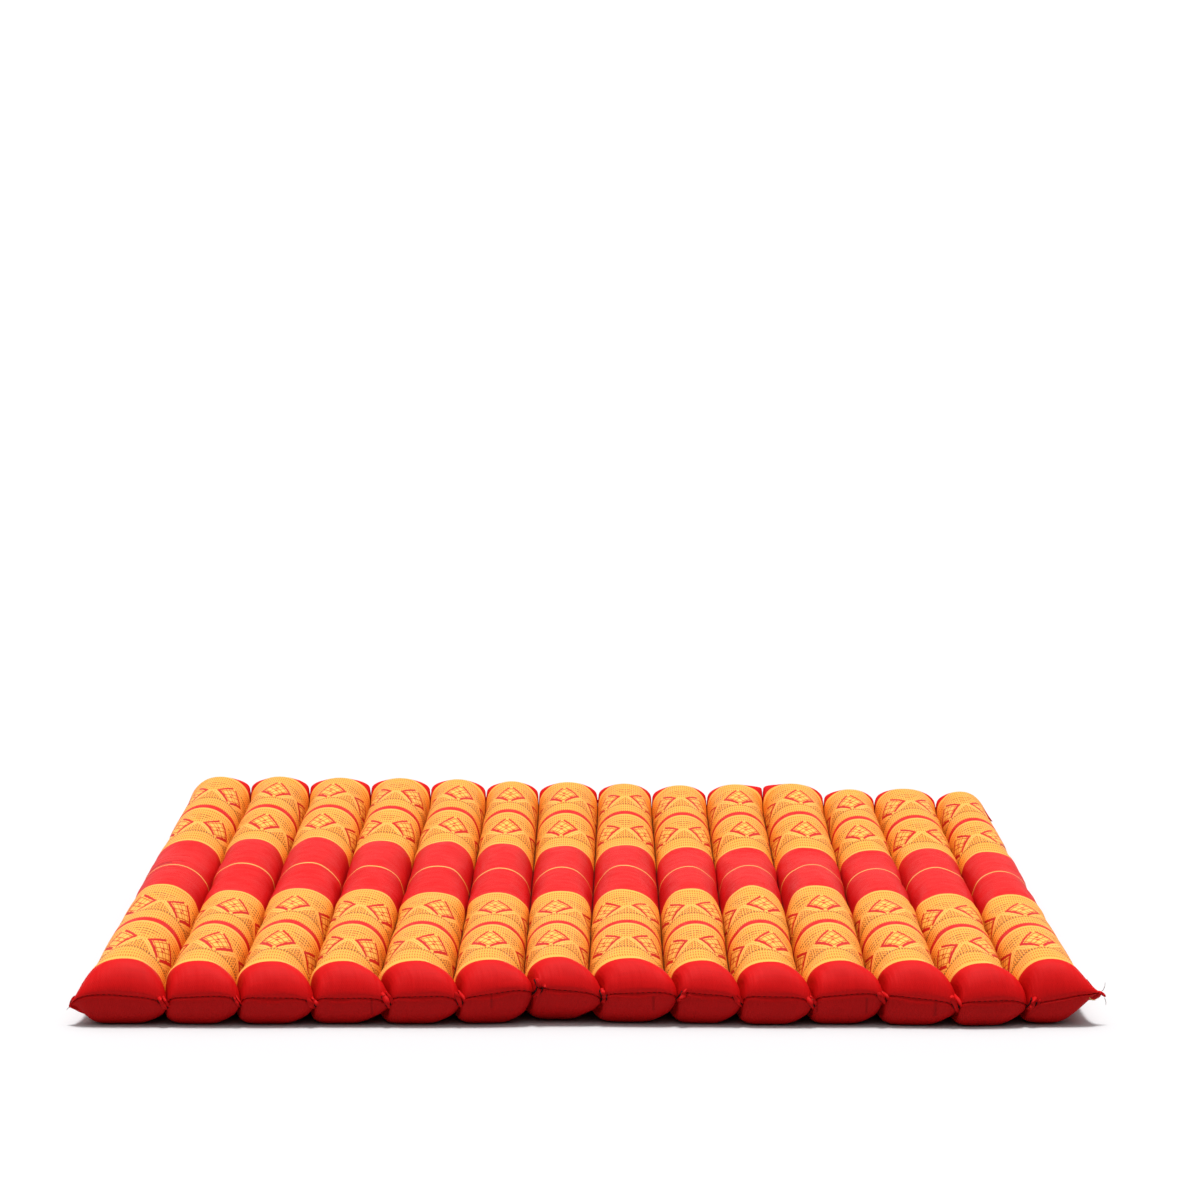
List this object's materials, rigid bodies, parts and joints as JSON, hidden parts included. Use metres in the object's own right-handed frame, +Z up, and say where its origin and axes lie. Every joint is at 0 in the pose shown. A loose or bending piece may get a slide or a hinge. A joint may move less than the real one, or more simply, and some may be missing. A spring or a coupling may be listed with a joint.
{
  "type": "zabuton floor mat",
  "caption": "Floor cushion mat stuffed in parallel sewn channels, with an orange woven cotton top, red cross bands, diamond motifs and a plain red underside.",
  "frame": {"origin": "middle of the mat's footprint, on the floor that it lies on", "axes": "+X across the stuffed channels, +Y along them from the front end to the back end, +Z up"},
  "size_m": [0.741, 0.72, 0.048],
  "materials": {
    "woven_cotton": "matt patterned weave"
  },
  "bodies": {
    "root": {"quilted_mat": "woven_cotton"}
  },
  "joints": []
}
